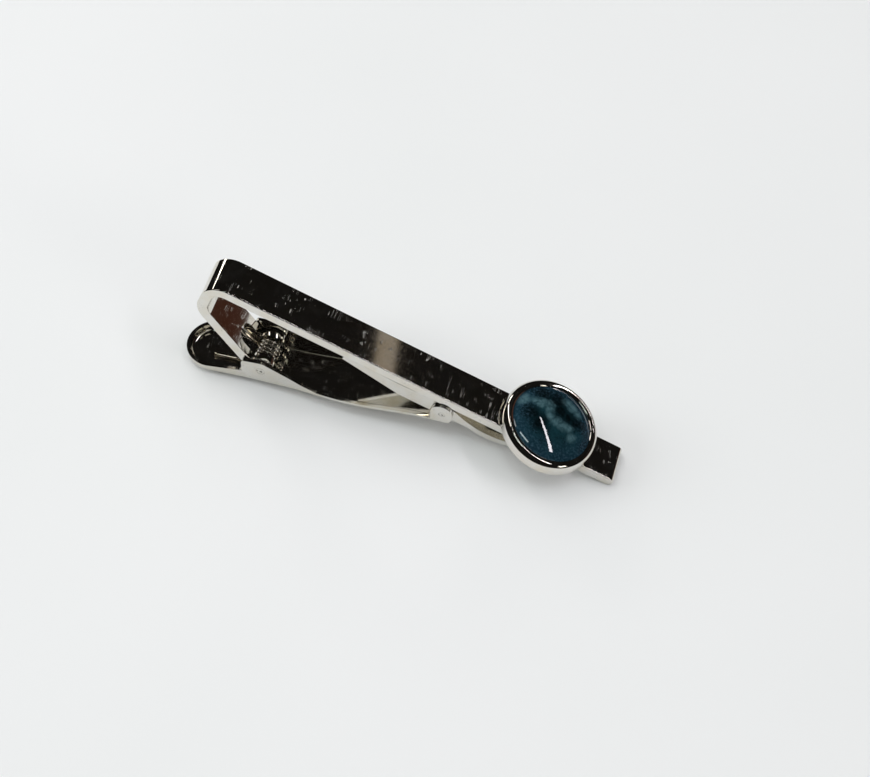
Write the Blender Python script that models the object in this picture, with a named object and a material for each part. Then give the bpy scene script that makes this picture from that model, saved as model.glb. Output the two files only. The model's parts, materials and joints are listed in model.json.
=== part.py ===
"""Spring tie clip with a round bezel-set stone, lying on a table.

Sizes are in millimetres and are turned into metres where vertices are made.

Three frames are used, all with Y across the clip:
    bar frame    X from the hairpin to the tip, Z out of the strip's front face, origin where the fold starts
    lever frame  origin on the pivot pin, X along the lever's floor towards the jaw, Z towards the strip
    jaw frame    origin on the jaw pin, X along the strip
"""

import math

import bmesh
import bpy
import numpy as np
from mathutils import Vector

MM = 0.001
RUNNING_FIT = 0.06  # radial gap round a pin that turns
RIVET_FIT = 0.02  # radial gap round a pin that is riveted fast
SEAT_GAP = 0.02  # gap between pieces that lie on each other
SIDE_PLAY = 0.1  # gap beside a piece that swings between two flanges

# Strip: one flat band, folded back under itself
STRIP_WIDTH = 5.3
STRIP_THICKNESS = 1.45
STRIP_LENGTH = 55.1  # from the start of the fold to the tip
STRIP_EDGE = 0.16  # rounding of the long edges
TIP_ROUND = 0.6
FOLD_RADIUS = 2.87  # outer radius of the first quarter of the fold
FOLD_DROP = 1.4  # straight part between the two bends
HEEL_RADIUS = 3.5  # outer radius of the second bend
HEEL_TURN = 53.5  # degrees turned by the second bend
ARM_REACH = 10.9  # from the end of the second bend to the foot of the pivot pin
PRONG_TAPER = 2.2  # length over which the arm thins into its knuckles
SLOT_WIDTH = 2.9  # between the two knuckles
SLOT_DEPTH = 5.3  # from the pin to the round end of the slot
KNUCKLE_WALL = 1.1  # metal round the pivot pin's running fit
SEAM_WIDTH = 0.12

# Pins
PIVOT_PIN_RADIUS = 0.6
JAW_PIN_RADIUS = 0.45
PIN_EDGE = 0.12
KNUCKLE_RADIUS = PIVOT_PIN_RADIUS + RUNNING_FIT + KNUCKLE_WALL

# Lever: stamped channel with a thumb tab behind the pivot
LEVER_ANGLE = 22.3  # degrees from the strip when closed
SHEET = 0.5
KNUCKLE_TO_FLOOR = 0.09
FLOOR_DEPTH = KNUCKLE_RADIUS + KNUCKLE_TO_FLOOR + SHEET  # from the pivot pin's centre to the underside
TAB_REACH = 11.2
TAB_WIDTH = 7.6
TAB_ROUND_LENGTH = 3.8
TAB_RIM_HEIGHT = 1.55
TAB_ROUND = 1.1  # rounding where the tab's dish turns up into its rim
FLANGE_RISE = 1.6  # above the pivot pin's centre
FLANGE_REAR = -2.6
FLANGE_FRONT = 7.5
FLANGE_CORNER = 0.6
FLANGE_SHOULDER = 0.75  # how far the rear corner lies below the flange's top
FLANGE_TOE = (2.0, 0.7)  # length and height of the easy slope at the flange's front foot
FLANGE_EDGE_HEIGHT = 0.65
WAIST_FRONT = 3.5  # where the lever starts to widen ahead of the pivot
BELLY = 11.5  # where the lever is widest ahead of the pivot
BELLY_WIDTH = 7.3
EAR_WIDTH = 5.9  # over both front ears
EAR_REAR = 22.95
EAR_FRONT = 25.8
EAR_GAP = 0.05  # between the ears' round tops and the strip's back face
FLOOR_FRONT = 24.6
STAMP_ROUND = 0.35  # rounding where the floor turns up into the sides

# Jaw leaf
JAW_PIN_X = 24.45  # in the lever frame
JAW_PIN_Z = -0.5
JAW_SHEET = 0.5
JAW_TAIL = 14.7  # behind the jaw pin
JAW_NOSE = 14.2  # ahead of the jaw pin
JAW_SIDE_DEPTH = 0.9
JAW_SIDE_FADE = 2.5  # length over which the turned-down sides run out at each end
JAW_LUG_WALL = 0.47  # metal under the jaw pin's running fit
JAW_LUG_DEPTH = JAW_PIN_RADIUS + RUNNING_FIT + JAW_LUG_WALL  # below the jaw pin's centre
JAW_LUG_REACH = 6.0  # how far the deep part of the sides runs behind the pin
JAW_REAR_BOW = 0.35
JAW_FRONT_BOW = 2.0
JAW_FRONT_SPAN = 13.0
JAW_TAIL_LEAD = 1.4  # the last stretch of the tail, which leans away from the strip
JAW_LEAD_DROP = 0.3  # how far the tail's end and the nose's end lean away
JAW_CONTACT_GAP = 0.06
JAW_FACET = 0.7  # spacing of the leaf's stations

# Torsion spring
WIRE_RADIUS = 0.25
COIL_TURNS = 4
COIL_SIDE_GAP = 0.04  # between the coil and each knuckle
COIL_PITCH = (SLOT_WIDTH / 2 - WIRE_RADIUS - COIL_SIDE_GAP) * 2 / COIL_TURNS
COIL_SLACK = 0.35  # more room round the pin than a running fit
COIL_FACETS = 20  # per turn
LEG_TO_TAB = 7.2
LEG_TO_ARM = 7.6
LEG_ELBOW = 2.6  # from the pivot along the arm, where the leg comes out of the slot

# Bezel cup, stone, glue and solder
CUP_CENTRE = 44.4  # along the strip
SOLDER = 0.12
SOLDER_LENGTH = 9.0
SOLDER_WIDTH = 4.4
SOLDER_CORNER = 0.6
CUP_WALL = 0.54
CUP_FLOOR = 0.35
CUP_WALL_HEIGHT = 0.75
LIP_THICKNESS = 0.46  # over the stone at the top of the cup
CUP_SHOULDER = 1.0
CUP_EDGE = 0.1
STONE_RADIUS = 6.0
STONE_FIT = 0.06
LIP_REACH = 0.75  # how far the cup's lip comes in over the stone
GLUE = 0.12
GLUE_INSET = 0.3
STONE_GIRDLE = 0.15
STONE_DOME = 2.1
CUP_RADIUS = STONE_RADIUS + STONE_FIT + CUP_WALL
GLUE_RADIUS = STONE_RADIUS - GLUE_INSET

ROUND = 64  # facets of a full turn on the large round pieces
PIN_ROUND = 32


def clear_scene():
    for obj in list(bpy.data.objects):
        bpy.data.objects.remove(obj)


def material(name, colour, roughness, metallic):
    made = bpy.data.materials.new(name)
    made.use_nodes = True
    shader = made.node_tree.nodes["Principled BSDF"]
    shader.inputs["Base Color"].default_value = (*colour, 1)
    shader.inputs["Roughness"].default_value = roughness
    shader.inputs["Metallic"].default_value = metallic
    return made


def arc(centre, radii, start, end, steps):
    """Points on an arc or an elliptical arc, from one angle in degrees to another."""
    rx, rz = radii if isinstance(radii, tuple) else (radii, radii)
    angles = np.radians(np.linspace(start, end, steps + 1))
    return [(centre[0] + rx * math.cos(a), centre[1] + rz * math.sin(a)) for a in angles]


def add_object(name, mesh, parent, smooth_angle=30):
    obj = bpy.data.objects.new(name, mesh)
    bpy.context.scene.collection.objects.link(obj)
    obj.parent = parent
    mesh.shade_smooth()
    mesh.set_sharp_from_angle(angle=math.radians(smooth_angle))
    return obj


def lofted(name, rings, parent):
    """A closed solid through rings of equal point counts, given as (x, y, z) in millimetres."""
    bm = bmesh.new()
    loops = [[bm.verts.new(Vector(point) * MM) for point in ring] for ring in rings]
    for lower, upper in zip(loops, loops[1:]):
        for i, vertex in enumerate(lower):
            j = (i + 1) % len(lower)
            bm.faces.new((vertex, lower[j], upper[j], upper[i]))
    bm.faces.new(reversed(loops[0]))
    bm.faces.new(loops[-1])
    bmesh.ops.recalc_face_normals(bm, faces=bm.faces)
    mesh = bpy.data.meshes.new(name)
    bm.to_mesh(mesh)
    bm.free()
    return add_object(name, mesh, parent)


def prism(name, outline, half_width, parent):
    """The outline, drawn in X and Z, made as wide as the piece across Y."""
    rings = [[(x, y, z) for x, z in outline] for y in (-half_width, half_width)]
    return lofted(name, rings, parent)


def pin(name, radius, half_length, parent, edge=0.0):
    """A cylinder along Y with chamfered ends."""
    ends = [(-half_length, radius - edge), (half_length, radius - edge)]
    if edge:
        ends[1:1] = [(edge - half_length, radius), (half_length - edge, radius)]
    angles = np.linspace(0, 2 * math.pi, PIN_ROUND, endpoint=False)
    rings = [[(r * math.cos(a), y, r * math.sin(a)) for a in angles] for y, r in ends]
    return lofted(name, rings, parent)


def turned(name, profile, parent, steps=ROUND):
    """A solid of revolution about Z from a profile of (radius, z) that starts and ends on the axis."""
    bm = bmesh.new()
    top = bm.verts.new(Vector((0, 0, profile[0][1])) * MM)
    bottom = bm.verts.new(Vector((0, 0, profile[-1][1])) * MM)
    angles = np.linspace(0, 2 * math.pi, steps, endpoint=False)
    loops = []
    for radius, z in profile[1:-1]:
        ring = [(radius * math.cos(a), radius * math.sin(a), z) for a in angles]
        loops.append([bm.verts.new(Vector(point) * MM) for point in ring])
    for i in range(steps):
        j = (i + 1) % steps
        bm.faces.new((top, loops[0][i], loops[0][j]))
        bm.faces.new((bottom, loops[-1][j], loops[-1][i]))
        for upper, lower in zip(loops, loops[1:]):
            bm.faces.new((upper[i], lower[i], lower[j], upper[j]))
    bmesh.ops.recalc_face_normals(bm, faces=bm.faces)
    mesh = bpy.data.meshes.new(name)
    bm.to_mesh(mesh)
    bm.free()
    return add_object(name, mesh, parent)


def boolean(obj, tool, operation="DIFFERENCE"):
    """Cuts or joins with a helper that stays out of the render."""
    tool.hide_render = True
    tool.display_type = "WIRE"
    modifier = obj.modifiers.new(f"{operation.title()} {tool.name}", "BOOLEAN")
    modifier.operation = operation
    modifier.solver = "EXACT"
    modifier.object = tool


def empty(name, parent, x, z, turn):
    """A frame at (x, z) in its parent, turned about Y by this many degrees."""
    frame = bpy.data.objects.new(name, None)
    bpy.context.scene.collection.objects.link(frame)
    frame.parent = parent
    frame.location = Vector((x, 0, z)) * MM
    frame.rotation_euler = (0, math.radians(turn), 0)
    return frame


def arm_axes():
    """Where the arm starts on its outer side, the way it runs and its inward normal, in the bar frame."""
    turn = math.radians(HEEL_TURN)
    centre = np.array([HEEL_RADIUS - FOLD_RADIUS, -FOLD_RADIUS - FOLD_DROP])
    inward = np.array([math.cos(turn), math.sin(turn)])
    along = np.array([math.sin(turn), -math.cos(turn)])
    return centre - HEEL_RADIUS * inward, along, inward


def pivot_place():
    """The pivot pin's centre in the bar frame: the knuckles roll the arm's inner face round it."""
    start, along, inward = arm_axes()
    return start + ARM_REACH * along + (STRIP_THICKNESS + PIVOT_PIN_RADIUS + RUNNING_FIT) * inward


def tangent_point(point, centre, radius):
    """Where a line from the point touches the circle, on its right-hand side."""
    span = np.array(centre) - point
    distance = np.hypot(*span)
    heading = math.atan2(span[1], span[0]) - math.asin(radius / distance)
    return np.array(centre) + radius * np.array([math.sin(heading), -math.cos(heading)])


def strip_outline():
    """Side view of the strip: tip, front face, fold, arm, knuckle, and back along the inner faces."""
    start, along, inward = arm_axes()
    pivot = pivot_place()
    inner_fold = FOLD_RADIUS - STRIP_THICKNESS
    inner_heel = HEEL_RADIUS - STRIP_THICKNESS
    fold_centre = (0, -FOLD_RADIUS)
    heel_centre = (HEEL_RADIUS - FOLD_RADIUS, -FOLD_RADIUS - FOLD_DROP)
    taper = start + (ARM_REACH - PRONG_TAPER) * along
    touch = tangent_point(taper, pivot, KNUCKLE_RADIUS)
    foot_drop = PIVOT_PIN_RADIUS + RUNNING_FIT
    arm_angle = math.degrees(math.atan2(along[1], along[0]))
    root_angle = arm_angle + 180 + math.degrees(math.asin(foot_drop / KNUCKLE_RADIUS))
    touch_angle = math.degrees(math.atan2(*(touch - pivot)[::-1]))
    tip = STRIP_LENGTH - TIP_ROUND
    outline = arc((tip, -TIP_ROUND), TIP_ROUND, 0, 90, 6)
    outline += arc(fold_centre, FOLD_RADIUS, 90, 180, 14)
    outline += arc(heel_centre, HEEL_RADIUS, 180, 180 + HEEL_TURN, 10)
    outline += [tuple(taper)]
    outline += arc(pivot, KNUCKLE_RADIUS, touch_angle, root_angle, 22)
    outline += arc(heel_centre, inner_heel, 180 + HEEL_TURN, 180, 8)
    outline += arc(fold_centre, inner_fold, 180, 90, 10)
    outline += arc((tip, TIP_ROUND - STRIP_THICKNESS), TIP_ROUND, 270, 360, 6)
    return outline


def arm_point(a, y, b):
    """A point given along the arm and out of its inner face, measured from the pivot pin's centre."""
    _, along, inward = arm_axes()
    place = pivot_place() + a * along + b * inward
    return (place[0], y, place[1])


def slot_cutter(frame):
    """The U-shaped slot between the knuckles, cut square through the arm."""
    half = SLOT_WIDTH / 2
    plan = arc((half - SLOT_DEPTH, 0), half, 90, 270, 16)
    plan += [(2 * KNUCKLE_RADIUS, -half), (2 * KNUCKLE_RADIUS, half)]
    reach = 2 * KNUCKLE_RADIUS
    rings = [[arm_point(a, y, b) for a, y in plan] for b in (-reach, reach)]
    return lofted("slot_cutter", rings, frame)


def seam_cutter(frame):
    """The seam where each knuckle's rolled end comes back to the arm's inner face."""
    low = -PIVOT_PIN_RADIUS - RUNNING_FIT
    high = low + SEAM_WIDTH
    back = -2 * KNUCKLE_RADIUS
    corners = [(back, low), (0, low), (0, high), (back, high)]
    rings = [[arm_point(a, y, b) for a, b in corners] for y in (-STRIP_WIDTH, STRIP_WIDTH)]
    return lofted("seam_cutter", rings, frame)


def make_strip(frame, metal):
    strip = prism("tie_bar", strip_outline(), STRIP_WIDTH / 2, frame)
    strip.data.materials.append(metal)
    bevel = strip.modifiers.new("Edges", "BEVEL")
    bevel.width = STRIP_EDGE * MM
    bevel.segments = 2
    bevel.limit_method = "ANGLE"
    bevel.angle_limit = math.radians(60)
    bore = pin("knuckle_bore", PIVOT_PIN_RADIUS + RUNNING_FIT, STRIP_WIDTH, frame)
    pivot = pivot_place()
    bore.location = Vector((pivot[0], 0, pivot[1])) * MM
    boolean(strip, slot_cutter(frame))
    boolean(strip, seam_cutter(frame))
    boolean(strip, bore)
    return strip


def lever_width():
    """Over the pivot flanges, which pass outside the strip."""
    return STRIP_WIDTH + 2 * (SIDE_PLAY + SHEET)


def plan_half_width(x):
    """Half of the lever's width at x: pivot flanges, a belly, then a smooth taper to the ears."""
    if x <= BELLY:
        ends, widths = (WAIST_FRONT, BELLY), (lever_width(), BELLY_WIDTH)
    else:
        ends, widths = (BELLY, EAR_REAR), (BELLY_WIDTH, EAR_WIDTH)
    share = np.clip((x - ends[0]) / (ends[1] - ends[0]), 0, 1)
    eased = (1 - math.cos(math.pi * share)) / 2
    return float(widths[0] + eased * (widths[1] - widths[0])) / 2


def lever_plan(inset, tab_inset):
    """The lever seen from above, as (x, y), drawn in by one amount at its sides and another round its tab."""
    join = TAB_ROUND_LENGTH - TAB_REACH
    half = TAB_WIDTH / 2 - tab_inset
    tab = arc((join, 0), (TAB_ROUND_LENGTH - tab_inset, half), 90, 270, 28)
    stations = [FLANGE_REAR, *np.linspace(WAIST_FRONT, EAR_REAR, 14), EAR_FRONT + SHEET]
    side = [(x, plan_half_width(x) - inset) for x in stations]
    return tab + [(x, -y) for x, y in side] + side[::-1]


def tray(name, inset, bottom, top, side_round, tab_round, frame):
    """The lever's plan as a solid whose lower edge is rounded, more at the tab than along the sides."""
    rings = []
    for angle in np.radians((0, 22.5, 45, 67.5, 90)):
        inwards = 1 - math.sin(angle)
        upwards = 1 - math.cos(angle)
        plan = lever_plan(inset + side_round * inwards, inset + tab_round * inwards)
        rounds = [tab_round if x < FLANGE_REAR else side_round for x, _ in plan]
        rings.append([(x, y, bottom + r * upwards) for (x, y), r in zip(plan, rounds)])
    rings.append([(x, y, top) for x, y in lever_plan(inset, inset)])
    return lofted(name, rings, frame)


def ear_centre(ear_round):
    """Centre of the ears' round tops, in the lever frame, just clear of the closed strip's back face."""
    turn = math.radians(LEVER_ANGLE)
    x = EAR_REAR + ear_round
    height = -STRIP_THICKNESS - EAR_GAP - ear_round - pivot_place()[1]
    return x, (height - x * math.sin(turn)) / math.cos(turn)


def lever_side_outline():
    """Side view of the lever: underside, ears, edge, pivot flange and thumb tab."""
    bottom = -FLOOR_DEPTH
    edge = bottom + FLANGE_EDGE_HEIGHT
    rim = bottom + TAB_RIM_HEIGHT
    ear_round = (EAR_FRONT - EAR_REAR) / 2
    outline = [(-TAB_REACH - SHEET, bottom - SHEET), (FLOOR_FRONT, bottom - SHEET), (FLOOR_FRONT, bottom)]
    outline += arc((EAR_FRONT - ear_round, bottom + ear_round), ear_round, 285, 360, 6)
    outline += arc(ear_centre(ear_round), ear_round, 0, 180, 14)
    outline += [(EAR_REAR, edge), (FLANGE_FRONT, edge)]
    outline += [(FLANGE_FRONT - FLANGE_TOE[0], edge + FLANGE_TOE[1])]
    outline += arc((0, 0), FLANGE_RISE, 62, 90, 4)
    rear_corner = (FLANGE_REAR + FLANGE_CORNER, FLANGE_RISE - FLANGE_SHOULDER)
    outline += arc(rear_corner, FLANGE_CORNER, 100, 180, 4)
    outline += [(FLANGE_REAR, rim), (-TAB_REACH - SHEET, rim)]
    return outline


def make_lever(frame, metal):
    lever = tray("clip_lever", 0, -FLOOR_DEPTH, 2 * FLANGE_RISE, STAMP_ROUND, TAB_ROUND, frame)
    lever.data.materials.append(metal)
    side = prism("lever_side", lever_side_outline(), TAB_WIDTH, frame)
    floor = SHEET - FLOOR_DEPTH
    inner_rounds = (STAMP_ROUND / 2, TAB_ROUND - SHEET)
    hollow = tray("lever_hollow", SHEET, floor, 3 * FLANGE_RISE, *inner_rounds, frame)
    deep = -2 * FLOOR_DEPTH
    past = 2 * EAR_FRONT
    gap = [(FLOOR_FRONT, deep), (past, deep), (past, 0), (FLOOR_FRONT, 0)]
    front_gap = prism("floor_end", gap, EAR_WIDTH / 2 - SHEET, frame)
    pivot_bore = pin("pivot_bore", PIVOT_PIN_RADIUS + RIVET_FIT, TAB_WIDTH, frame)
    jaw_bore = pin("ear_bore", JAW_PIN_RADIUS + RIVET_FIT, TAB_WIDTH, frame)
    jaw_bore.location = Vector((JAW_PIN_X, 0, JAW_PIN_Z)) * MM
    boolean(lever, side, "INTERSECT")
    for cutter in (hollow, front_gap, pivot_bore, jaw_bore):
        boolean(lever, cutter)
    return lever


def jaw_face(x):
    """Height of the leaf's gripping face above the jaw pin: a shallow bow behind and a deep bow ahead."""
    contact = strip_back_above_jaw_pin() - JAW_CONTACT_GAP
    if 0 <= x <= JAW_FRONT_SPAN:
        return contact - JAW_FRONT_BOW * math.sin(math.pi * x / JAW_FRONT_SPAN)
    if x > JAW_FRONT_SPAN:
        return contact - JAW_LEAD_DROP * ((x - JAW_FRONT_SPAN) / (JAW_NOSE - JAW_FRONT_SPAN)) ** 2
    rear_span = JAW_TAIL - JAW_TAIL_LEAD
    if x >= -rear_span:
        return contact - JAW_REAR_BOW * math.sin(math.pi * x / -rear_span)
    return contact - JAW_LEAD_DROP * ((x + rear_span) / JAW_TAIL_LEAD) ** 2


def jaw_under(x):
    """Height of the lower edge of the leaf's turned-down sides, which are deepest round the pin."""
    from_end = min(x + JAW_TAIL, JAW_NOSE - x)
    turned_down = (JAW_SIDE_DEPTH - JAW_SHEET) * min(1.0, from_end / JAW_SIDE_FADE)
    side = jaw_face(x) - JAW_SHEET - turned_down
    if x < -JAW_LUG_REACH:
        tail = jaw_face(-JAW_TAIL) - JAW_SHEET
        share = (x + JAW_LUG_REACH) / (JAW_LUG_REACH - JAW_TAIL)
        return share * tail - (1 - share) * JAW_LUG_DEPTH
    return min(side, -JAW_LUG_DEPTH) if x < JAW_FRONT_SPAN / 2 else side


def jaw_stations(start, end):
    return np.linspace(start, end, round((end - start) / JAW_FACET) + 1)


def strip_back_above_jaw_pin():
    """Height of the strip's back face over the jaw pin's centre, square to the strip."""
    turn = math.radians(LEVER_ANGLE)
    pivot = pivot_place()
    jaw_pin = pivot[1] + JAW_PIN_X * math.sin(turn) + JAW_PIN_Z * math.cos(turn)
    return -STRIP_THICKNESS - jaw_pin


def make_jaw(frame, metal):
    stations = jaw_stations(-JAW_TAIL, JAW_NOSE)
    face = [(x, jaw_face(x)) for x in stations]
    under = [(x, jaw_under(x)) for x in stations[::-1]]
    half = EAR_WIDTH / 2 - SHEET - SIDE_PLAY
    jaw = prism("jaw_leaf", face + under, half, frame)
    jaw.data.materials.append(metal)
    ends = jaw_stations(-JAW_TAIL - 1, JAW_NOSE + 1)
    hollow_top = [(x, jaw_face(np.clip(x, -JAW_TAIL, JAW_NOSE)) - JAW_SHEET) for x in ends]
    hollow_under = [(ends[-1], -3 * FLOOR_DEPTH), (ends[0], -3 * FLOOR_DEPTH)]
    hollow = prism("jaw_hollow", hollow_top + hollow_under, half - JAW_SHEET, frame)
    bore = pin("jaw_bore", JAW_PIN_RADIUS + RUNNING_FIT, EAR_WIDTH, frame)
    boolean(jaw, hollow)
    boolean(jaw, bore)
    return jaw


def spring_path():
    """The wire's centre line in the lever frame: tab leg, coil, arm leg."""
    radius = PIVOT_PIN_RADIUS + RUNNING_FIT + WIRE_RADIUS + COIL_SLACK
    half = COIL_TURNS * COIL_PITCH / 2
    tab_rest = np.array([-LEG_TO_TAB, SHEET - FLOOR_DEPTH + WIRE_RADIUS + SEAT_GAP])
    arm_turn = 180 - (LEVER_ANGLE + 90 - HEEL_TURN)
    arm_way = np.array([math.cos(math.radians(arm_turn)), math.sin(math.radians(arm_turn))])
    arm_under = np.array([-arm_way[1], arm_way[0]])
    below = STRIP_THICKNESS + PIVOT_PIN_RADIUS + RUNNING_FIT + WIRE_RADIUS + SEAT_GAP
    arm_rest = LEG_TO_ARM * arm_way + below * arm_under
    elbow = LEG_ELBOW * arm_way + below * arm_under
    tab_touch = tangent_point(tab_rest, (0, 0), radius)
    arm_touch = tangent_point(elbow, (0, 0), radius)
    start = math.atan2(tab_touch[1], tab_touch[0])
    end = math.atan2(arm_touch[1], arm_touch[0])
    sweep = (end - start) % (2 * math.pi) + 2 * math.pi * (COIL_TURNS - 1)
    steps = COIL_FACETS * COIL_TURNS
    path = [(tab_rest[0], -half, tab_rest[1])]
    for i in range(steps + 1):
        angle = start + sweep * i / steps
        path.append((radius * math.cos(angle), -half + 2 * half * i / steps, radius * math.sin(angle)))
    path += [(elbow[0], half, elbow[1]), (arm_rest[0], half, arm_rest[1])]
    return path


def make_spring(frame, metal):
    path = spring_path()
    curve = bpy.data.curves.new("torsion_spring", "CURVE")
    curve.dimensions = "3D"
    curve.bevel_depth = WIRE_RADIUS * MM
    curve.bevel_resolution = 2
    curve.use_fill_caps = True
    spline = curve.splines.new("POLY")
    spline.points.add(len(path) - 1)
    for point, place in zip(spline.points, path):
        point.co = (*(Vector(place) * MM), 1)
    curve.materials.append(metal)
    spring = bpy.data.objects.new("torsion_spring", curve)
    bpy.context.scene.collection.objects.link(spring)
    spring.parent = frame
    return spring


def cup_base():
    return SOLDER + 2 * SEAT_GAP


def stone_base():
    return cup_base() + CUP_FLOOR + GLUE + 2 * SEAT_GAP


def make_cup(frame, metal):
    base = cup_base()
    girdle = stone_base() + STONE_GIRDLE
    reach = STONE_RADIUS + STONE_FIT
    lift = STONE_DOME + STONE_FIT
    lip_angle = math.degrees(math.acos((STONE_RADIUS - LIP_REACH) / reach))
    shoulder = (CUP_RADIUS - CUP_SHOULDER, base + CUP_WALL_HEIGHT)
    top = girdle + lift * math.sqrt(1 - (shoulder[0] / reach) ** 2) + LIP_THICKNESS
    rise = top - shoulder[1]
    profile = [(0, base), (CUP_RADIUS - CUP_EDGE, base), (CUP_RADIUS, base + CUP_EDGE)]
    profile += arc(shoulder, (CUP_SHOULDER, rise), 0, 90, 8)
    profile += arc((0, girdle), (reach, lift), lip_angle, 0, 4)
    profile += [(reach, base + CUP_FLOOR), (0, base + CUP_FLOOR)]
    cup = turned("bezel_cup", profile, frame)
    cup.location.x = CUP_CENTRE * MM
    cup.data.materials.append(metal)
    return cup


def make_stone(frame, glaze):
    base = stone_base()
    girdle = base + STONE_GIRDLE
    profile = arc((0, girdle), (STONE_RADIUS, STONE_DOME), 90, 0, 14)
    profile += [(STONE_RADIUS, base + CUP_EDGE), (STONE_RADIUS - CUP_EDGE, base), (0, base)]
    stone = turned("cabochon", profile, frame)
    stone.location.x = CUP_CENTRE * MM
    stone.data.materials.append(glaze)
    return stone


def make_glue(frame, resin):
    low = cup_base() + CUP_FLOOR + SEAT_GAP
    profile = [(0, low + GLUE), (GLUE_RADIUS, low + GLUE), (GLUE_RADIUS, low), (0, low)]
    glue = turned("adhesive_bed", profile, frame)
    glue.location.x = CUP_CENTRE * MM
    glue.data.materials.append(resin)
    return glue


def make_solder(frame, metal):
    long, wide = SOLDER_LENGTH / 2 - SOLDER_CORNER, SOLDER_WIDTH / 2 - SOLDER_CORNER
    plan = []
    for i, (sx, sy) in enumerate(((1, 1), (-1, 1), (-1, -1), (1, -1))):
        plan += arc((sx * long, sy * wide), SOLDER_CORNER, 90 * i, 90 * i + 90, 4)
    rings = [[(x, y, z) for x, y in plan] for z in (SEAT_GAP, SEAT_GAP + SOLDER)]
    pad = lofted("solder_joint", rings, frame)
    pad.location.x = CUP_CENTRE * MM
    pad.data.materials.append(metal)
    return pad


def rest_tilt():
    """How far the clip leans, in degrees, when the thumb tab's heel and the strip's tip touch the table."""
    turn = math.radians(LEVER_ANGLE)
    reach = TAB_REACH - TAB_ROUND
    heel = pivot_place() + np.array(
        [
            -reach * math.cos(turn) + FLOOR_DEPTH * math.sin(turn),
            -reach * math.sin(turn) - FLOOR_DEPTH * math.cos(turn),
        ]
    )
    tip = np.array([STRIP_LENGTH - TIP_ROUND, -STRIP_THICKNESS])
    return math.degrees(math.atan2(tip[1] - heel[1], tip[0] - heel[0]))


def stand_on_floor(frame):
    """Moves the whole clip so that the bottom centre of its box is at the world's origin."""
    bpy.context.view_layer.update()
    graph = bpy.context.evaluated_depsgraph_get()
    corners = []
    for obj in bpy.data.objects:
        if obj.type != "EMPTY" and not obj.hide_render:
            shape = obj.evaluated_get(graph).to_mesh()
            corners += [obj.matrix_world @ vertex.co for vertex in shape.vertices]
    low = np.min(corners, axis=0)
    high = np.max(corners, axis=0)
    centre = (low + high) / 2
    frame.location = frame.location - Vector((centre[0], centre[1], low[2]))


def main():
    clear_scene()
    plated = material("polished nickel plate", (0.62, 0.61, 0.58), 0.08, 1.0)
    plated_lever = material("stamped nickel plate", (0.56, 0.55, 0.52), 0.16, 1.0)
    wire = material("spring wire", (0.55, 0.53, 0.5), 0.22, 1.0)
    rivet = material("rivet steel", (0.5, 0.49, 0.47), 0.25, 1.0)
    glaze = material("teal glaze", (0.02, 0.09, 0.13), 0.05, 0.0)
    resin = material("clear epoxy", (0.6, 0.58, 0.5), 0.3, 0.0)
    tin = material("solder", (0.45, 0.45, 0.44), 0.35, 1.0)

    pivot = pivot_place()
    bar_frame = empty("bar_frame", None, 0, 0, rest_tilt())
    lever_frame = empty("lever_axis", bar_frame, pivot[0], pivot[1], -LEVER_ANGLE)
    jaw_frame = empty("jaw_axis", lever_frame, JAW_PIN_X, JAW_PIN_Z, LEVER_ANGLE)

    make_strip(bar_frame, plated)
    make_cup(bar_frame, plated)
    make_stone(bar_frame, glaze)
    make_glue(bar_frame, resin)
    make_solder(bar_frame, tin)

    make_lever(lever_frame, plated_lever)
    pivot_pin = pin("pivot_pin", PIVOT_PIN_RADIUS, lever_width() / 2, lever_frame, PIN_EDGE)
    pivot_pin.data.materials.append(rivet)
    jaw_pin = pin("jaw_pin", JAW_PIN_RADIUS, EAR_WIDTH / 2, lever_frame, PIN_EDGE)
    jaw_pin.location = Vector((JAW_PIN_X, 0, JAW_PIN_Z)) * MM
    jaw_pin.data.materials.append(rivet)
    make_spring(lever_frame, wire)
    make_jaw(jaw_frame, plated_lever)
    stand_on_floor(bar_frame)


main()
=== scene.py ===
"""Spring tie clip with a round glazed stone, on a pale table under soft studio light.

Lengths inside the pieces are in millimetres, in the frame of the piece. Three frames are worked out
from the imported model:
    BAR    X from the fold to the tip, Z out of the strip's front face, origin where the fold starts
    LEVER  origin on the pivot pin, X along the lever's floor, Z towards the strip
    JAW    origin on the jaw pin, X along the strip
"""

import math

import bmesh
import bpy
import numpy as np
from mathutils import Euler, Matrix, Vector
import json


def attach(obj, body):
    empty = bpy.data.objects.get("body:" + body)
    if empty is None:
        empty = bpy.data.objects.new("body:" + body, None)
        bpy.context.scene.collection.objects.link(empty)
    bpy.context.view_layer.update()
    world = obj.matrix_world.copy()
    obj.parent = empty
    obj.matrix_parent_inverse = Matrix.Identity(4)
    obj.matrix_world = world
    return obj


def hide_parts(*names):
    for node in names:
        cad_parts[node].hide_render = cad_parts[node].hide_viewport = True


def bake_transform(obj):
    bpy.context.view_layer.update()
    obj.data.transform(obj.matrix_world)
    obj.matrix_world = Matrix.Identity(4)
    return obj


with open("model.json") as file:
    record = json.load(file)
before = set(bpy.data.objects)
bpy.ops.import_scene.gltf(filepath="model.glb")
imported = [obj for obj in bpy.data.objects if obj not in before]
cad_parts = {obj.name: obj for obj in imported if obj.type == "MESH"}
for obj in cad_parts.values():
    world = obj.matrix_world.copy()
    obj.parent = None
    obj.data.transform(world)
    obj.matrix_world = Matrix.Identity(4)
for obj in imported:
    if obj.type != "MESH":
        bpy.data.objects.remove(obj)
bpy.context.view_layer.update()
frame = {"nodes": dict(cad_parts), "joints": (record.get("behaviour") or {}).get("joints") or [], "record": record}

MM = 0.001

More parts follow.
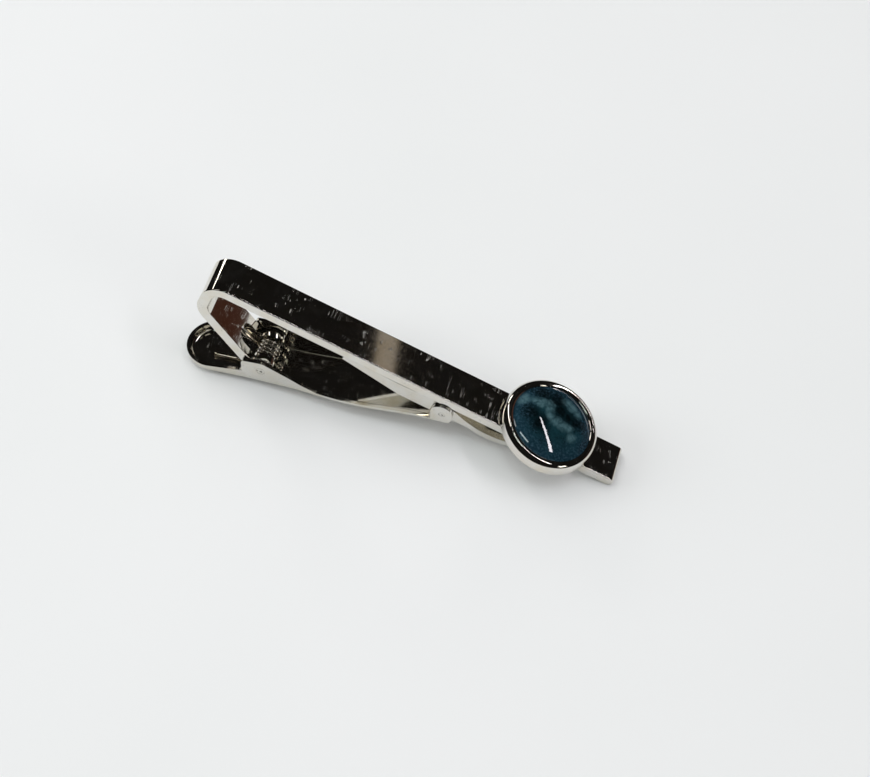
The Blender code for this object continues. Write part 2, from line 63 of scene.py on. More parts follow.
# ------------------------------------------------------ sizes of the object, in millimetres
# Strip: its edges, the fold, the heel where it turns into the arm (turn in degrees), the arm's two
# prongs and their rolled knuckles
STRIP_WIDTH, STRIP_THICKNESS, STRIP_LENGTH = 5.3, 1.45, 55.1
STRIP_EDGE, TIP_ROUND = 0.16, 0.6
FOLD_RADIUS, FOLD_DROP, HEEL_RADIUS, HEEL_TURN = 2.87, 1.4, 3.5, 53.5
ARM_REACH, PRONG_TAPER, SLOT_WIDTH, SLOT_DEPTH = 10.9, 2.2, 2.9, 5.3
KNUCKLE_RADIUS, SEAM_WIDTH, PRONG_EDGE = 1.76, 0.12, 0.06

# Rivets: their bores' play, how far they stay inside their holes, and the radius of the punch marks
PIVOT_RADIUS, JAW_PIN_RADIUS, PIN_GAP = 0.6, 0.45, 0.06
RIVET_PLAY, RIVET_RECESS, RIVET_EDGE = 0.005, 0.01, 0.03
PIVOT_MARK, JAW_MARK = 0.17, 0.12
DOT_PLACE, DOT_SHARE = 0.7, 0.6

# Lever: the sheet, the thumb tab, the pivot flanges (the far one is taller and longer), the belly,
# the ears and the end of the floor
LEVER_ANGLE = math.radians(22.3)  # between its floor and the closed strip
SHEET, SIDE_PLAY, FLOOR_DEPTH = 0.5, 0.1, 2.35
STAMP_ROUND, STAMP_EDGE = 0.35, 0.1
TAB_REACH, TAB_WIDTH, TAB_ROUND_LENGTH = 11.2, 7.6, 3.8
TAB_RIM_HEIGHT, TAB_ROUND = 1.55, 1.1
FLANGE_RISE, FLANGE_REAR, FLANGE_FRONT = 1.6, -2.6, 7.5
FLANGE_CORNER, FLANGE_SHOULDER = 0.6, 0.75
FLANGE_TOE, FLANGE_EDGE_HEIGHT = (2.0, 0.7), 0.65
FAR_RISE, FAR_TOP_END, FAR_FRONT = 2.6, 4.0, 11.0
WAIST_FRONT, BELLY, BELLY_WIDTH = 3.5, 11.5, 7.3
EAR_WIDTH, EAR_REAR, EAR_FRONT, EAR_GAP, FLOOR_FRONT = 5.9, 22.95, 25.8, 0.05, 24.6

# Jaw leaf, and the place of its pin in the lever
JAW_PIN_X, JAW_PIN_Z = 24.45, -0.5
JAW_SHEET, JAW_EDGE, JAW_TAIL, JAW_NOSE = 0.5, 0.08, 14.7, 14.2
JAW_SIDE_DEPTH, JAW_SIDE_FADE, JAW_LUG_DEPTH, JAW_LUG_REACH = 0.9, 2.5, 0.98, 6.0
JAW_REAR_BOW, JAW_FRONT_BOW, JAW_FRONT_SPAN = 0.35, 2.0, 13.0
JAW_TAIL_LEAD, JAW_LEAD_DROP, JAW_CONTACT_GAP = 1.4, 0.3, 0.06

# Spring: the wire, the coil round the pivot pin and the two legs
WIRE_RADIUS, COIL_RADIUS, COIL_TURNS, COIL_HALF = 0.25, 1.26, 4, 1.16
LEG_TO_TAB, LEG_TO_ARM, LEG_ELBOW, SEAT_GAP = 7.2, 7.6, 2.6, 0.02
WIRE_END_SHARE, COLLAR_PLACE, COLLAR_SWELL = 0.7, 0.3, 0.12

# Cup and stone: heights over the strip's face
CUP_CENTRE, CUP_BASE, CUP_TOP, CUP_FLOOR = 44.4, 0.16, 2.105, 0.35
CUP_RADIUS, CUP_WALL, CUP_SHOULDER, CUP_FOOT_ROUND = 6.6, 0.75, 1.0, 0.16
STONE_RADIUS, STONE_BASE, STONE_GIRDLE, STONE_DOME = 6.0, 0.67, 0.82, 2.1
STONE_CHAMFER, STONE_GAP, LIP_GAP = 0.1, 0.06, 0.05
STONE_SEEN = 5.38  # radius of the lip's inner edge
BEAD_STEPS = [(-0.1, 0.03), (-0.22, 0.01)]  # from the end of the shoulder, outwards and up
LIP_STEPS = [(0.12, 0.12), (0.04, 0.05), (0.01, 0.01)]  # from the lip's inner edge

# Patches of the glaze: along and across the strip from the stone's middle, full strength inside one
# radius, none past the other
POOLS = [
    (-2.4, 3.4, 0.7, 1.9),
    (-0.4, 3.1, 0.8, 1.8),
    (0.4, 1.7, 0.5, 1.5),
    (2.9, 1.0, 0.4, 1.6),
    (1.6, 1.2, 0.3, 1.2),
    (-3.1, -0.3, 0.4, 1.7),
    (-1.9, -1.3, 0.6, 1.8),
]
CLOUDS = [
    (-3.2, 1.6, 0.1, 0.8),
    (-2.3, 1.6, 0.3, 0.9),
    (-1.3, 1.9, 0.2, 0.9),
    (-1.0, 1.1, 0.1, 0.7),
    (1.0, 3.6, 0.2, 1.0),
    (1.8, 3.1, 0.3, 1.1),
    (2.6, 2.6, 0.3, 1.0),
    (-0.8, 0.2, 0.2, 0.8),
    (0.2, -0.2, 0.3, 1.0),
    (1.2, -0.4, 0.3, 1.0),
    (2.3, -0.3, 0.2, 0.8),
    (2.8, -1.4, 0.1, 0.8),
    (-4.6, 1.4, 0.2, 1.1),
]
RIM_START, RIM_FULL = 2.6, 5.4  # where the speckle towards the rim begins and is at its strongest
DEEP_TEAL, MID_TEAL = (0.003, 0.014, 0.018), (0.007, 0.034, 0.042)
RIM_BLUE, SPECKLE_BLUE = (0.009, 0.03, 0.048), (0.06, 0.12, 0.17)
POOL_BLACK, CLOUD_PALE = (0.0006, 0.0025, 0.003), (0.075, 0.15, 0.17)

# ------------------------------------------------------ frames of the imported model
joints = {joint["name"]: joint for joint in frame["joints"]}
mounts = {mount["name"]: mount for mount in frame["record"]["mounts"]}
ACROSS = Vector((0, 1, 0))
LEVER_UP = -Vector(mounts["lever_back_face"]["axis"]).normalized()
PIVOT = Vector(joints["lever_swing"]["pos_m"])
JAW_PIN = Vector(joints["jaw_rock"]["pos_m"])


def frame_matrix(origin, up):
    """Turns millimetres in a frame whose Z is up into metres in the shared frame."""
    turn = Matrix((ACROSS.cross(up), ACROSS, up)).transposed().to_4x4()
    return Matrix.Translation(origin) @ turn @ Matrix.Scale(MM, 4)


LEVER = frame_matrix(PIVOT, LEVER_UP)
BAR_UP = Matrix.Rotation(LEVER_ANGLE, 3, "Y") @ LEVER_UP
JAW = frame_matrix(JAW_PIN, BAR_UP)


def arm_axes():
    """Where the arm starts on its outer side, the way it runs and its inward normal, as (x, z)."""
    turn = math.radians(HEEL_TURN)
    centre = np.array([HEEL_RADIUS - FOLD_RADIUS, -FOLD_RADIUS - FOLD_DROP])
    inward = np.array([math.cos(turn), math.sin(turn)])
    along = np.array([math.sin(turn), -math.cos(turn)])
    return centre - HEEL_RADIUS * inward, along, inward


def pivot_place():
    start, along, inward = arm_axes()
    return start + ARM_REACH * along + (STRIP_THICKNESS + PIVOT_RADIUS + PIN_GAP) * inward


PIVOT_IN_BAR = pivot_place()
BAR = frame_matrix(PIVOT, BAR_UP) @ Matrix.Translation((-PIVOT_IN_BAR[0], 0, -PIVOT_IN_BAR[1]))
CUP = BAR @ Matrix.Translation((CUP_CENTRE, 0, 0))


# ------------------------------------------------------ materials
class Paint:
    """A material under construction, with short ways to add its nodes."""

    def __init__(self, name):
        self.material = bpy.data.materials.new(name)
        self.material.use_nodes = True
        self.tree = self.material.node_tree
        self.shader = self.tree.nodes["Principled BSDF"]
        self.place = self.tree.nodes.new("ShaderNodeTexCoord").outputs["Object"]

    def link(self, source, target):
        self.tree.links.new(source, target)

    def feed(self, sockets, values):
        """Gives each socket its value, or links it when the value is another node's output."""
        for socket, value in zip(sockets, values):
            if isinstance(value, bpy.types.NodeSocket):
                self.link(value, socket)
            elif isinstance(value, tuple) and socket.type == "RGBA":
                socket.default_value = (*value, 1)
            else:
                socket.default_value = value

    def put(self, source, name):
        self.link(source, self.shader.inputs[name])

    def set(self, **values):
        for name, value in values.items():
            self.shader.inputs[name.replace("_", " ")].default_value = value

    def stretched(self, scale, turn):
        node = self.tree.nodes.new("ShaderNodeMapping")
        names = ("Vector", "Scale", "Rotation")
        self.feed([node.inputs[name] for name in names], (self.place, scale, turn))
        return node.outputs["Vector"]

    def noise(self, scale, detail=3.0, rough=0.5, vector=None, warp=0.0, output="Fac"):
        node = self.tree.nodes.new("ShaderNodeTexNoise")
        names = ("Vector", "Scale", "Detail", "Roughness", "Distortion")
        values = (vector or self.place, scale, detail, rough, warp)
        self.feed([node.inputs[name] for name in names], values)
        return node.outputs[output]

    def cells(self, scale):
        node = self.tree.nodes.new("ShaderNodeTexVoronoi")
        self.feed((node.inputs["Vector"], node.inputs["Scale"]), (self.place, scale))
        return node.outputs["Distance"]

    def ramp(self, value, stops):
        node = self.tree.nodes.new("ShaderNodeValToRGB")
        elements = node.color_ramp.elements
        while len(elements) < len(stops):
            elements.new(0.5)
        for element, (position, colour) in zip(elements, stops):
            element.position = position
            colour = (colour,) * 3 if isinstance(colour, (int, float)) else colour
            element.color = (*colour, 1)
        self.link(value, node.inputs["Fac"])
        return node.outputs["Color"]

    def map(self, value, low, high, new_low, new_high):
        node = self.tree.nodes.new("ShaderNodeMapRange")
        names = ("Value", "From Min", "From Max", "To Min", "To Max")
        values = (value, low, high, new_low, new_high)
        self.feed([node.inputs[name] for name in names], values)
        return node.outputs["Result"]

    def math(self, operation, first, second):
        node = self.tree.nodes.new("ShaderNodeMath")
        node.operation = operation
        self.feed(node.inputs[:2], (first, second))
        return node.outputs["Value"]

    def vector(self, operation, first, second, output="Vector"):
        node = self.tree.nodes.new("ShaderNodeVectorMath")
        node.operation = operation
        self.feed(node.inputs[:2], (first, second))
        return node.outputs[output]

    def mix(self, share, first, second):
        node = self.tree.nodes.new("ShaderNodeMix")
        node.data_type = "RGBA"
        colours = [socket for socket in node.inputs if socket.type == "RGBA"]
        self.feed((node.inputs["Factor"], *colours), (share, first, second))
        return next(socket for socket in node.outputs if socket.type == "RGBA")

    def plan_of(self, matrix):
        """The place in a piece's own millimetres, along and across, with its height left out."""
        rise = self.vector("SUBTRACT", self.place, matrix.to_translation())
        node = self.tree.nodes.new("ShaderNodeCombineXYZ")
        for axis, socket in zip(matrix.to_3x3().transposed(), node.inputs[:2]):
            unit = axis / axis.length_squared
            self.link(self.vector("DOT_PRODUCT", rise, unit, "Value"), socket)
        return node.outputs["Vector"]

    def shaken(self, place, scale, amount):
        """The place moved about by a slow noise, so that a patch drawn in it has a ragged edge."""
        cloud = self.noise(scale, 4, 0.6, place, output="Color")
        shift = self.vector("SUBTRACT", cloud, (0.5, 0.5, 0.5))
        return self.vector("ADD", place, self.vector("MULTIPLY", shift, (amount, amount, amount)))

    def patch(self, place, centre, core, edge):
        """One at the core radius, falling to zero at the edge radius."""
        return self.map(self.vector("DISTANCE", place, centre, "Value"), core, edge, 1, 0)

    def patches(self, place, rows):
        """All the patches of a list, as (x, y, core, edge), laid over each other."""
        total = 0.0
        for x, y, core, edge in rows:
            total = self.math("MAXIMUM", total, self.patch(place, (x, y, 0), core, edge))
        return total

    def bump(self, height, strength, distance):
        node = self.tree.nodes.new("ShaderNodeBump")
        names = ("Height", "Strength", "Distance")
        self.feed([node.inputs[name] for name in names], (height, strength, distance))
        self.put(node.outputs["Normal"], "Normal")


def scratches(paint, scale, turn, density, thin):
    """Short hairline scratches: a stretched noise, kept where another noise lets it through."""
    lines = paint.noise(scale, 1.0, 0.4, paint.stretched((1, 0.03, 1), turn))
    where = paint.noise(scale * 0.2, 1.0, 0.5)
    line = paint.ramp(lines, [(0.5 - thin, 0.0), (0.5, 1.0), (0.5 + thin, 0.0)])
    line = paint.math("POWER", line, 2.0)
    kept = paint.ramp(where, [(density, 0.0), (density + 0.03, 1.0)])
    return paint.math("MULTIPLY", line, kept)


def specks(paint):
    """Dust: small round cells, kept only in some places."""
    dots = paint.ramp(paint.cells(1500), [(0.06, 1.0), (0.11, 0.0)])
    kept = paint.ramp(paint.noise(700, 2, 0.5), [(0.56, 0.0), (0.62, 1.0)])
    return paint.math("MULTIPLY", dots, kept)


def plated(name, colour, roughness, wear, ripple):
    """Bright plating: faint tarnish, hairline scratches, dust, and a slow ripple from polishing."""
    paint = Paint(name)
    warm = tuple(c * k for c, k in zip(colour, (0.94, 0.9, 0.82)))
    stain = paint.ramp(paint.noise(380, 4, 0.6), [(0.42, 0.0), (0.7, 1.0)])
    plain = paint.mix(stain, colour, warm)
    lines = paint.math(
        "MAXIMUM",
        scratches(paint, 3600, (0, 0, 0.9), 0.62, 0.02),
        scratches(paint, 4200, (0.2, 0.1, -0.5), 0.66, 0.018),
    )
    worn = paint.math("MULTIPLY", paint.math("MAXIMUM", lines, specks(paint)), wear)
    film = paint.ramp(paint.noise(420, 5, 0.65, warp=0.5), [(0.5, 0.0), (0.85, 0.012)])
    matt = paint.math("MAXIMUM", worn, film)
    fine = paint.map(paint.noise(2600, 3, 0.6), 0.3, 0.7, roughness * 0.7, roughness * 1.4)
    wave = paint.math("MULTIPLY", paint.noise(190, 1, 0.4), ripple)
    paint.put(paint.mix(worn, plain, (0.75, 0.74, 0.72)), "Base Color")
    paint.put(paint.map(matt, 0, 1, 1, 0), "Metallic")
    paint.put(paint.math("ADD", fine, paint.math("MULTIPLY", worn, 0.4)), "Roughness")
    paint.bump(paint.math("ADD", wave, lines), 0.25, 0.000012)
    return paint.material


def glazed(name):
    """Deep teal glaze with black pools, pale clouds and fine blue speckle towards the rim."""
    paint = Paint(name)
    paint.set(Roughness=0.03, IOR=1.5, Coat_Weight=0.3, Coat_Roughness=0.02, Coat_IOR=1.5)
    plan = paint.plan_of(CUP)
    ragged = paint.shaken(plan, 0.55, 1.7)
    pools = paint.patches(ragged, POOLS)
    clouds = paint.patches(ragged, CLOUDS)
    rim = paint.map(paint.patch(plan, (0, 0, 0), RIM_FULL, RIM_START), 0, 1, 0.1, 1)
    depth = paint.noise(0.4, 4, 0.6, plan)
    base = paint.ramp(depth, [(0.35, DEEP_TEAL), (0.65, MID_TEAL)])
    base = paint.mix(paint.math("MULTIPLY", rim, 0.7), base, RIM_BLUE)
    dark = paint.mix(paint.math("MULTIPLY", pools, 0.95), base, POOL_BLACK)
    wisps = paint.ramp(paint.noise(0.9, 5, 0.65, plan, 1.0), [(0.38, 0.35), (0.6, 1.0)])
    haze = paint.math("MULTIPLY", paint.math("MULTIPLY", clouds, wisps), 0.9)
    pale = paint.mix(haze, dark, CLOUD_PALE)
    speckle = paint.ramp(paint.noise(3.2, 3, 0.8, plan), [(0.48, 0.0), (0.66, 1.0)])
    dots = paint.math("MULTIPLY", paint.math("MULTIPLY", speckle, rim), 0.5)
    paint.put(paint.mix(dots, pale, SPECKLE_BLUE), "Base Color")
    paint.bump(paint.noise(900, 3, 0.6), 0.3, 0.00002)
    return paint.material


def toned(name, scale, detail, stops):
    """A plain material whose colour drifts between two tones."""
    paint = Paint(name)
    paint.put(paint.ramp(paint.noise(scale, detail, 0.5), stops), "Base Color")
    return paint


def resin_bed(name):
    paint = toned(name, 700, 3, [(0.3, (0.5, 0.47, 0.36)), (0.7, (0.66, 0.63, 0.52))])
    paint.set(Roughness=0.3, Transmission_Weight=0.3)
    paint.bump(paint.noise(900, 3, 0.5), 0.3, 0.00002)
    return paint.material


STRIP_METAL = plated("plated strip", (0.74, 0.725, 0.68), roughness=0.035, wear=0.55, ripple=0.4)
CUP_METAL = plated("plated cup", (0.72, 0.7, 0.66), roughness=0.05, wear=0.1, ripple=1.2)
LEVER_METAL = plated("plated lever", (0.7, 0.685, 0.64), roughness=0.06, wear=0.35, ripple=1.5)
PIN_METAL = plated("rivet steel", (0.66, 0.645, 0.6), roughness=0.1, wear=0.3, ripple=1.0)
WIRE_METAL = plated("spring wire", (0.66, 0.63, 0.57), roughness=0.09, wear=0.3, ripple=1.0)
SOLDER_METAL = plated("solder tin", (0.55, 0.55, 0.54), roughness=0.25, wear=0.4, ripple=2.5)
GLAZE = glazed("teal glaze")
RESIN = resin_bed("clear epoxy")


# ------------------------------------------------------ mesh helpers
CREASE = 32  # degrees: a fresh mesh is shaded sharp over this angle
WORKED_CREASE = 40  # the same for a bevelled piece
WIRE_CREASE = 50
BEVEL_OVER = 60  # degrees: edges sharper than this are rounded
ROD_SIDES, WIRE_SIDES, TURNED_SIDES = 64, 14, 192


def arc(centre, radii, start, end, steps):
    """Points on a circle, or on an ellipse for a pair of radii, between two angles in degrees."""
    rx, rz = radii if isinstance(radii, tuple) else (radii, radii)
    angles = np.radians(np.linspace(start, end, steps + 1))
    return [(centre[0] + rx * math.cos(a), centre[1] + rz * math.sin(a)) for a in angles]


def full_turn(steps):
    return np.linspace(0, 2 * math.pi, steps, endpoint=False)


def shaded(obj, crease):
    obj.data.shade_smooth()
    obj.data.set_sharp_from_angle(angle=math.radians(crease))
    return obj


def apply_modifiers(obj):
    """Keeps the evaluated mesh and drops the modifiers."""
    graph = bpy.context.evaluated_depsgraph_get()
    shaped = bpy.data.meshes.new_from_object(obj.evaluated_get(graph))
    obj.modifiers.clear()
    obj.data = shaped
    return obj


def flat_faced(obj):
    """Smooth shading that leaves the large faces flat up to their rounded edges."""
    shaded(obj, WORKED_CREASE)
    modifier = obj.modifiers.new("flat faces", "WEIGHTED_NORMAL")
    modifier.keep_sharp = True
    modifier.weight = 100
    return apply_modifiers(obj)


def add_mesh(name, bm, matrix, material=None, crease=CREASE):
    """Puts the mesh, given in millimetres, into the shared frame. A cutter needs no material."""
    bmesh.ops.recalc_face_normals(bm, faces=bm.faces)
    mesh = bpy.data.meshes.new(name)
    bm.to_mesh(mesh)
    bm.free()
    mesh.transform(matrix)
    if material:
        mesh.materials.append(material)
    obj = bpy.data.objects.new(name, mesh)
    bpy.context.scene.collection.objects.link(obj)
    return shaded(obj, crease)


def lofted(name, rings, matrix, material=None, caps=True, crease=CREASE):
    """A skin over rings with the same number of points, closed at both ends by caps."""
    bm = bmesh.new()
    loops = [[bm.verts.new(point) for point in ring] for ring in rings]
    for lower, upper in zip(loops, loops[1:]):
        for i, vertex in enumerate(lower):
            j = (i + 1) % len(lower)
            bm.faces.new((vertex, lower[j], upper[j], upper[i]))
    if caps:
        bm.faces.new(loops[0])
        bm.faces.new(loops[-1])
    return add_mesh(name, bm, matrix, material, crease)


def prism(name, outline, half_width, matrix, material=None):
    """A side view, as (x, z), given a width along Y."""
    rings = [[(x, y, z) for x, z in outline] for y in (-half_width, half_width)]
    return lofted(name, rings, matrix, material)


def rod(name, radius, half_length, matrix, material=None, edge=0.0):
    """A round bar along Y, with a chamfer at its ends when it has an edge."""
    ends = [(-half_length, radius - edge)]
    if edge:
        ends.append((-half_length + edge, radius))
    ends += [(-y, r) for y, r in ends[::-1]]
    rings = [[(r * math.cos(a), y, r * math.sin(a)) for a in full_turn(ROD_SIDES)] for y, r in ends]
    return lofted(name, rings, matrix, material)


def turned(name, profile, matrix, material):
    """A solid turned about Z from a profile of (radius, z) that starts and ends on the axis."""
    bm = bmesh.new()
    top = bm.verts.new((0, 0, profile[0][1]))
    bottom = bm.verts.new((0, 0, profile[-1][1]))
    loops = [
        [bm.verts.new((r * math.cos(a), r * math.sin(a), z)) for a in full_turn(TURNED_SIDES)]
        for r, z in profile[1:-1]
    ]
    for i in range(TURNED_SIDES):
        j = (i + 1) % TURNED_SIDES
        bm.faces.new((top, loops[0][i], loops[0][j]))
        bm.faces.new((bottom, loops[-1][j], loops[-1][i]))
        for upper, lower in zip(loops, loops[1:]):
            bm.faces.new((upper[i], lower[i], lower[j], upper[j]))
    return add_mesh(name, bm, matrix, material)


def cut(obj, tools, operation="DIFFERENCE"):
    """Cuts the tools away from the piece, or keeps what they share, and removes the tools."""
    for tool in tools:
        modifier = obj.modifiers.new(tool.name, "BOOLEAN")
        modifier.operation = operation
        modifier.solver = "EXACT"
        modifier.object = tool
    apply_modifiers(obj)
    for tool in tools:
        bpy.data.objects.remove(tool)


def bevelled(obj, width, segments):
    """Rounds the sharp edges."""
    modifier = obj.modifiers.new("edges", "BEVEL")
    modifier.width = width * MM
    modifier.segments = segments
    modifier.limit_method = "ANGLE"
    modifier.angle_limit = math.radians(BEVEL_OVER)
    modifier.use_clamp_overlap = True
    shaded(apply_modifiers(obj), WORKED_CREASE)


def pit(name, place, radius, matrix):
    """A ball that leaves a round punch mark when it is cut away."""
    bm = bmesh.new()
    bmesh.ops.create_uvsphere(bm, u_segments=20, v_segments=12, radius=radius)
    bmesh.ops.translate(bm, verts=bm.verts, vec=place)
    return add_mesh(name, bm, matrix)


def finished(obj, body, node):
    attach(obj, body)
    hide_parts(node)


# ------------------------------------------------------ strip
def tangent_point(point, centre, radius):
    """Where a line from the point touches the circle, on its right-hand side."""
    span = np.array(centre) - point
    distance = np.hypot(*span)
    heading = math.atan2(span[1], span[0]) - math.asin(radius / distance)
    return np.array(centre) + radius * np.array([math.sin(heading), -math.cos(heading)])


def strip_outline():
    """Side view of the strip: tip, front face, fold, arm, knuckle, back along the inner faces."""
    start, along, _ = arm_axes()
    fold_centre = (0, -FOLD_RADIUS)
    heel_centre = (HEEL_RADIUS - FOLD_RADIUS, -FOLD_RADIUS - FOLD_DROP)
    taper = start + (ARM_REACH - PRONG_TAPER) * along
    touch = tangent_point(taper, PIVOT_IN_BAR, KNUCKLE_RADIUS)
    arm_angle = math.degrees(math.atan2(along[1], along[0]))
    root_turn = math.degrees(math.asin((PIVOT_RADIUS + PIN_GAP) / KNUCKLE_RADIUS))
    root_angle = arm_angle + 180 + root_turn
    touch_angle = math.degrees(math.atan2(*(touch - PIVOT_IN_BAR)[::-1]))
    tip = STRIP_LENGTH - TIP_ROUND
    outline = arc((tip, -TIP_ROUND), TIP_ROUND, 0, 90, 12)
    outline += arc(fold_centre, FOLD_RADIUS, 90, 180, 32)
    outline += arc(heel_centre, HEEL_RADIUS, 180, 180 + HEEL_TURN, 24)
    outline += [tuple(taper)]
    outline += arc(PIVOT_IN_BAR, KNUCKLE_RADIUS, touch_angle, root_angle, 48)
    outline += arc(heel_centre, HEEL_RADIUS - STRIP_THICKNESS, 180 + HEEL_TURN, 180, 18)
    outline += arc(fold_centre, FOLD_RADIUS - STRIP_THICKNESS, 180, 90, 24)
    outline += arc((tip, TIP_ROUND - STRIP_THICKNESS), TIP_ROUND, 270, 360, 12)
    return outline


def arm_point(a, y, b):
    """A point given along the arm and out of its inner face, from the pivot pin's centre."""
    _, along, inward = arm_axes()
    place = PIVOT_IN_BAR + a * along + b * inward
    return (place[0], y, place[1])


def slot_tool():
    """The slot between the two prongs, seen square to the arm."""
    half, past = SLOT_WIDTH / 2, 2 * KNUCKLE_RADIUS
    plan = arc((half - SLOT_DEPTH, 0), half, 90, 270, 40) + [(past, -half), (past, half)]
    rings = [[arm_point(a, y, b) for a, y in plan] for b in (-past, past)]
    return lofted("slot_tool", rings, BAR)


def seam_tool():
    """The seam where the rolled end of each knuckle comes back to the arm."""
    low, past = -PIVOT_RADIUS - PIN_GAP, -2 * KNUCKLE_RADIUS
    corners = [(past, low), (0, low), (0, low + SEAM_WIDTH), (past, low + SEAM_WIDTH)]
    rings = [[arm_point(a, y, b) for a, b in corners] for y in (-STRIP_WIDTH, STRIP_WIDTH)]
    return lofted("seam_tool", rings, BAR)


def make_strip():
    strip = prism("strip_plated", strip_outline(), STRIP_WIDTH / 2, BAR, STRIP_METAL)
    bevelled(strip, STRIP_EDGE, 4)
    bore = rod("knuckle_bore", PIVOT_RADIUS + PIN_GAP, STRIP_WIDTH, LEVER)
    cut(strip, [slot_tool(), seam_tool(), bore])
    bevelled(strip, PRONG_EDGE, 2)
    finished(flat_faced(strip), "strip", "tie_bar")


# ------------------------------------------------------ lever
def lever_width():
    return STRIP_WIDTH + 2 * (SIDE_PLAY + SHEET)


def plan_half_width(x):
    """Half of the lever's width at x: pivot flanges, a belly, then a smooth taper to the ears."""
    if x <= BELLY:
        ends, widths = (WAIST_FRONT, BELLY), (lever_width(), BELLY_WIDTH)
    else:
        ends, widths = (BELLY, EAR_REAR), (BELLY_WIDTH, EAR_WIDTH)
    share = np.clip((x - ends[0]) / (ends[1] - ends[0]), 0, 1)
    eased = (1 - math.cos(math.pi * share)) / 2
    return float(widths[0] + eased * (widths[1] - widths[0])) / 2


def lever_plan(inset, tab_inset):
    """The lever from above, as (x, y), drawn in by one amount at its sides, another at its tab."""
    join = TAB_ROUND_LENGTH - TAB_REACH
    tab_half = TAB_WIDTH / 2 - tab_inset
    tab = arc((join, 0), (TAB_ROUND_LENGTH - tab_inset, tab_half), 90, 270, 60)
    stations = [FLANGE_REAR, *np.linspace(WAIST_FRONT, EAR_REAR, 40), EAR_FRONT + SHEET]
    side = [(x, plan_half_width(x) - inset) for x in stations]
    shares = np.linspace(0, 1, 12)[1:-1]
    run, flare = FLANGE_REAR - join, side[0][1] - tab_half
    neck = [(join + share * run, tab_half + share * flare) for share in shares]
    side = neck + side
    return tab + [(x, -y) for x, y in side] + side[::-1]


def lower_round(x, side_round, tab_round):
    """Rounding of the lower edge at x: the tab's own, easing into the sides' along the neck."""
    join = TAB_ROUND_LENGTH - TAB_REACH
    share = np.clip((x - join) / (FLANGE_REAR - join), 0, 1)
    return tab_round + share * (side_round - tab_round)


def tray(name, inset, bottom, top, side_round, tab_round, material=None):
    """The lever's plan as a solid whose lower edge is rounded, more at the tab than elsewhere."""
    rings = []
    for angle in np.radians(np.linspace(0, 90, 10)):
        inwards = 1 - math.sin(angle)
        upwards = 1 - math.cos(angle)
        plan = lever_plan(inset + side_round * inwards, inset + tab_round * inwards)
        rounds = [lower_round(x, side_round, tab_round) for x, _ in plan]
        rings.append([(x, y, bottom + r * upwards) for (x, y), r in zip(plan, rounds)])
    rings.append([(x, y, top) for x, y in lever_plan(inset, inset)])
    return lofted(name, rings, LEVER, material)


def ear_centre(ear_round):
    """Centre of the ears' round tops, just clear of the closed strip's back face."""
    x = EAR_REAR + ear_round
    height = -STRIP_THICKNESS - EAR_GAP - ear_round - PIVOT_IN_BAR[1]
    return x, (height - x * math.sin(LEVER_ANGLE)) / math.cos(LEVER_ANGLE)


def near_flange_top():
    """The near pivot flange from its toe, over the pin and down its rear corner."""
    edge = FLANGE_EDGE_HEIGHT - FLOOR_DEPTH
    points = [(FLANGE_FRONT, edge), (FLANGE_FRONT - FLANGE_TOE[0], edge + FLANGE_TOE[1])]
    points += arc((0, 0), FLANGE_RISE, 62, 90, 10)
    rear_corner = (FLANGE_REAR + FLANGE_CORNER, FLANGE_RISE - FLANGE_SHOULDER)
    return points + arc(rear_corner, FLANGE_CORNER, 100, 180, 10)


def near_trim():
    """What the near side loses from the far flange's height."""
    rim = TAB_RIM_HEIGHT - FLOOR_DEPTH
    high, back, front = 2 * FAR_RISE, FLANGE_REAR - 1, FAR_FRONT + SHEET
    outline = near_flange_top() + [(FLANGE_REAR, rim), (back, rim), (back, high), (front, high)]
    outline += [(front, FLANGE_EDGE_HEIGHT - FLOOR_DEPTH)]
    rings = [[(x, y, z) for x, z in outline] for y in (-TAB_WIDTH, 0)]
    return lofted("near_trim", rings, LEVER)


def lever_side():
    """Side view of the lever: underside, ears, edge, the taller far flange and thumb tab."""
    bottom = -FLOOR_DEPTH
    edge = bottom + FLANGE_EDGE_HEIGHT
    rim = bottom + TAB_RIM_HEIGHT
    below, behind = bottom - SHEET, -TAB_REACH - SHEET
    ear_round = (EAR_FRONT - EAR_REAR) / 2
    far_corner = (FLANGE_REAR + FLANGE_CORNER, FAR_RISE - FLANGE_CORNER)
    outline = [(behind, below), (FLOOR_FRONT, below), (FLOOR_FRONT, bottom)]
    outline += arc((EAR_FRONT - ear_round, bottom + ear_round), ear_round, 285, 360, 14)
    outline += arc(ear_centre(ear_round), ear_round, 0, 180, 36)
    outline += [(EAR_REAR, edge), (FAR_FRONT, edge), (FAR_TOP_END, FAR_RISE)]
    outline += arc(far_corner, FLANGE_CORNER, 90, 180, 10)
    return outline + [(FLANGE_REAR, rim), (behind, rim)]


def floor_end():
    """What is cut from between the ears, ahead of the floor."""
    past, below = 2 * EAR_FRONT, -2 * FLOOR_DEPTH
    outline = [(FLOOR_FRONT, below), (past, below), (past, 0), (FLOOR_FRONT, 0)]
    return prism("floor_end", outline, EAR_WIDTH / 2 - SHEET, LEVER)


